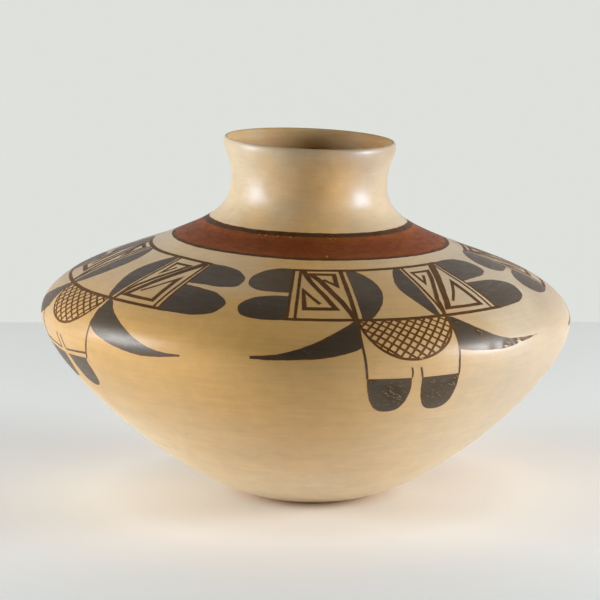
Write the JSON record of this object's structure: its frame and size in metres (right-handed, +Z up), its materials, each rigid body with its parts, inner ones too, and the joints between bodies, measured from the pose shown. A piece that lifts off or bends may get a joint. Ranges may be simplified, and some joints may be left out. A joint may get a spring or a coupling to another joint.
{
  "type": "pottery jar",
  "caption": "Wide, low-shouldered pottery jar with a short flared neck, an open mouth and a small flat foot.",
  "frame": {"origin": "on the floor that the foot rests on, under the centre of the belly", "axes": "+Z up through the mouth, +X towards the low side of the mouth, which is the right of the pictured side"},
  "size_m": [0.28, 0.28, 0.1909],
  "materials": {
    "fired_clay": "burnished",
    "black_paint": "burnished",
    "red_slip": "burnished"
  },
  "bodies": {
    "root": {"vessel": "fired_clay"}
  },
  "joints": []
}
